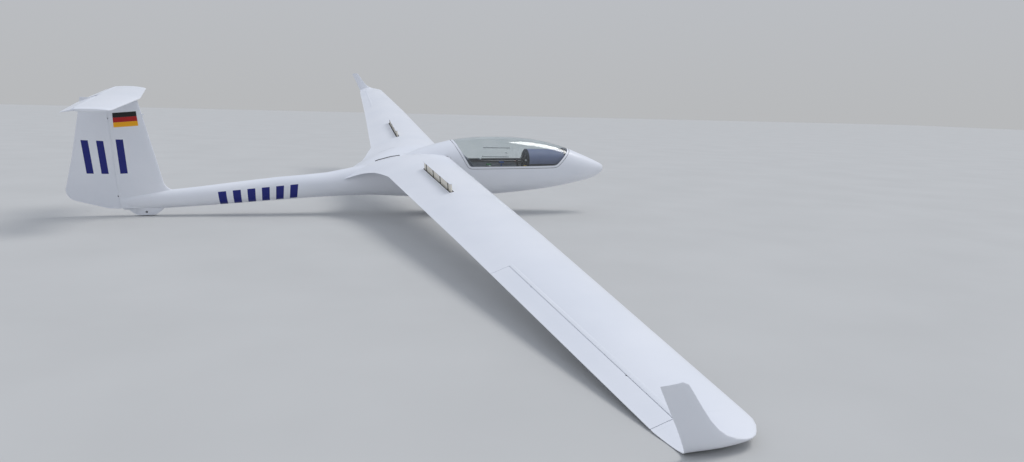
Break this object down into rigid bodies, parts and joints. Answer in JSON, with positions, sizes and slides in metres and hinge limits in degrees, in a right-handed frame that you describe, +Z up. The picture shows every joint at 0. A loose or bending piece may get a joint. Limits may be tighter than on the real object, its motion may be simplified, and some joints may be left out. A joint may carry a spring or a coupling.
{
  "type": "single-seat sailplane",
  "caption": "White single-seat glass-fibre sailplane with winglets and a T-tail, parked on its wheel with one wing tip down and its airbrakes out.",
  "frame": {"origin": "on the floor, below the centre of the overall bounding box", "axes": "+X to the port wing tip, -Y to the nose, +Z up; the airframe is banked to starboard so that its starboard wing tip is on the floor"},
  "size_m": [14.9326, 6.7506, 2.0263],
  "materials": {
    "gelcoat": "white glossy gelcoat on glass fibre",
    "brake_plate": "cream painted sheet",
    "canopy_pane": "clear acrylic with a slight tint",
    "cockpit_lining": "light grey painted laminate",
    "cushion_cloth": "dark grey-blue woven cloth",
    "webbing": "blue belt webbing",
    "panel_black": "matt black paint",
    "cover_grey": "grey-blue matt moulding",
    "dial_glass": "black dials with pale scales",
    "control_black": "black grip",
    "knob_blue": "blue handle",
    "knob_green": "green handle",
    "knob_yellow": "yellow handle",
    "gear_steel": "painted and bare steel",
    "tyre_rubber": "black rubber",
    "wheel_alloy": "cast light alloy"
  },
  "bodies": {
    "airframe": {"wing_port": "gelcoat", "wing_tip_port": "gelcoat", "wing_starboard": "gelcoat", "wing_tip_starboard": "gelcoat", "stabilizer": "gelcoat", "fuselage": "gelcoat", "seat_pan": "cockpit_lining", "seat_back": "cockpit_lining", "back_cushion": "cushion_cloth", "seat_cushion": "cushion_cloth", "headrest": "cushion_cloth", "harness": "webbing", "baggage_shelf": "cockpit_lining", "instrument_panel": "panel_black", "instrument_cover": "cover_grey", "instruments": "dial_glass", "control_stick": "control_black", "rudder_pedals": "gear_steel", "side_console_port": "cockpit_lining", "side_console_starboard": "cockpit_lining", "airbrake_lever": "knob_blue", "trim_lever": "knob_green", "gear_lever": "control_black", "release_knob": "knob_yellow", "main_gear_leg": "gear_steel", "gear_door_port": "gelcoat", "gear_door_starboard": "gelcoat", "tow_hook": "gear_steel", "tail_axle": "gear_steel"},
    "main_wheel": {"main_tyre": "tyre_rubber", "main_rim": "wheel_alloy"},
    "tail_wheel": {"tail_tyre": "tyre_rubber", "tail_rim": "wheel_alloy"},
    "rudder": {"rudder": "gelcoat"},
    "elevator": {"elevator": "gelcoat"},
    "aileron_port": {"aileron_port": "gelcoat"},
    "aileron_starboard": {"aileron_starboard": "gelcoat"},
    "airbrake_port": {"airbrake_port": "brake_plate", "airbrake_cap_port": "gelcoat"},
    "airbrake_starboard": {"airbrake_starboard": "brake_plate", "airbrake_cap_starboard": "gelcoat"},
    "canopy": {"canopy_frame": "gelcoat", "canopy_glass": "canopy_pane", "clear_view_window": "canopy_pane"}
  },
  "joints": [
    {"name": "main_wheel_spin", "type": "hinge", "parent": "airframe", "child": "main_wheel", "pos_m": [0.10135, -1.09833, 0.1769], "axis": [0.9938, 0, 0.111], "continuous": true},
    {"name": "tail_wheel_spin", "type": "hinge", "parent": "airframe", "child": "tail_wheel", "pos_m": [0.11534, 2.50867, 0.05168], "axis": [0.9938, 0, 0.111], "continuous": true},
    {"name": "rudder_swing", "type": "hinge", "parent": "airframe", "child": "rudder", "pos_m": [0.11046, 2.80515, 0.09541], "axis": [-0.1108, 0.0568, 0.9922], "range_deg": [-30, 30]},
    {"name": "elevator_swing", "type": "hinge", "parent": "airframe", "child": "elevator", "pos_m": [-0.03533, 2.96367, 1.40029], "axis": [0.9938, 0, 0.111], "range_deg": [-11, 39]},
    {"name": "aileron_port_swing", "type": "hinge", "parent": "airframe", "child": "aileron_port", "pos_m": [4.83102, -0.6686, 1.32436], "axis": [0.9905, -0.0501, 0.1284], "range_deg": [-20, 20]},
    {"name": "aileron_starboard_swing", "type": "hinge", "parent": "airframe", "child": "aileron_starboard", "pos_m": [-4.76493, -0.6686, 0.2523], "axis": [0.9944, 0.0501, 0.0933], "range_deg": [-20, 20]},
    {"name": "airbrake_port_slide", "type": "slide", "parent": "airframe", "child": "airbrake_port", "axis": [-0.1162, 0.1234, 0.9855], "range_m": [-0.085, 0]},
    {"name": "airbrake_starboard_slide", "type": "slide", "parent": "airframe", "child": "airbrake_starboard", "axis": [-0.1041, 0.1234, 0.9869], "range_m": [-0.085, 0]},
    {"name": "canopy_lift", "type": "hinge", "parent": "airframe", "child": "canopy", "pos_m": [0.03651, -2.98333, 0.75729], "axis": [0.9938, 0, 0.111], "range_deg": [0, 45]}
  ],
  "couplings": [
    {"joint": "aileron_starboard_swing", "follows": "aileron_port_swing", "ratio": -1},
    {"joint": "airbrake_starboard_slide", "follows": "airbrake_port_slide", "ratio": 1}
  ]
}
